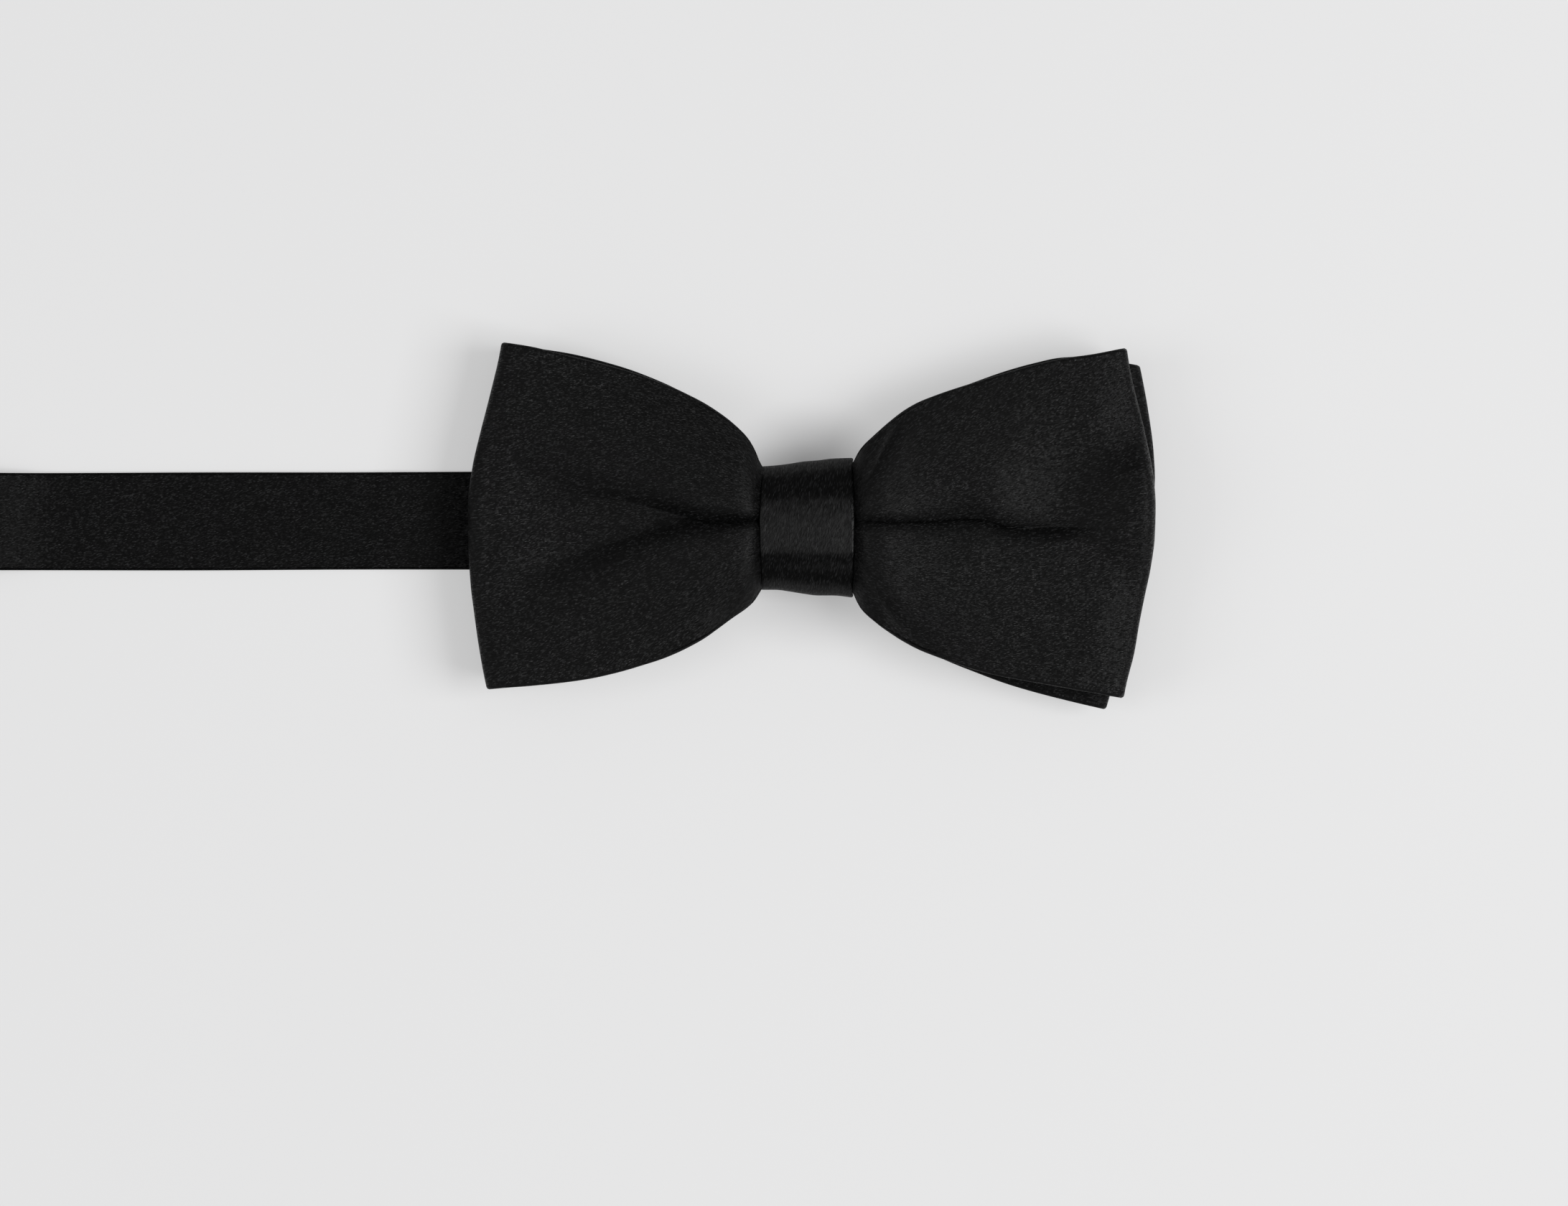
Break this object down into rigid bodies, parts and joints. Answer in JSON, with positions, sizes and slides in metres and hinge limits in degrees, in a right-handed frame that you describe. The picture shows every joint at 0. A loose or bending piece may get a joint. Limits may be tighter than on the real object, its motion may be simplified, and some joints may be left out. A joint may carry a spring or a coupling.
{
  "type": "pre-tied bow tie",
  "caption": "Pre-tied satin bow tie: folded bow loops gathered in a wrapped knot, on a flat neckband with an adjuster slide, hook and eye, lying face up.",
  "frame": {"origin": "under the middle of the knot, on the flat underside that lies on a table or against the shirt collar", "axes": "+Z out of the front face of the bow, +Y towards the bow's upper edge, -X along the long end of the neckband"},
  "size_m": [0.3733, 0.0643, 0.0157],
  "materials": {
    "satin": "black satin, fine twill line, soft sheen",
    "satin_knot": "black satin with the floats running across the knot",
    "satin_band": "black satin strap, fine twill line",
    "interlining": "matt non-woven stiffener",
    "thread": "black polyester sewing thread",
    "nickel": "nickel-plated pressed steel"
  },
  "bodies": {
    "root": {"front_bow": "satin", "front_bow_interlining": "interlining", "back_bow": "satin", "back_bow_interlining": "interlining", "knot_wrap": "satin_knot", "knot_interlining": "interlining", "pinch_thread": "thread", "knot_stitches": "thread", "neckband_long": "satin_band", "neckband_short": "satin_band", "eye_bartack": "thread"},
    "band_end": {"neckband_fold": "satin_band"},
    "adjuster": {"adjuster_slide": "nickel", "neckband_return": "satin_band", "slide_bartack": "thread"},
    "hook_body": {"hook": "nickel"},
    "eye_body": {"eye": "nickel"}
  },
  "joints": [
    {"name": "band_adjust", "type": "slide", "parent": "root", "child": "band_end", "axis": [-1, 0, 0], "range_m": [-0.01, 0.105], "deforming": ["neckband_long"]},
    {"name": "slide_travel", "type": "slide", "parent": "band_end", "child": "adjuster", "axis": [-1, 0, 0], "range_m": [-0.01, 0.105], "deforming": ["neckband_return"]},
    {"name": "hook_swing", "type": "hinge", "parent": "band_end", "child": "hook_body", "pos_m": [-0.295, 0.0012, 0.0021], "axis": [0, 1, 0], "range_deg": [0, 110]},
    {"name": "eye_swing", "type": "hinge", "parent": "root", "child": "eye_body", "pos_m": [0.044, 0.0012, 0.0018], "axis": [0, -1, 0], "range_deg": [-60, 8]}
  ],
  "couplings": [
    {"joint": "slide_travel", "follows": "band_adjust", "ratio": 1}
  ]
}
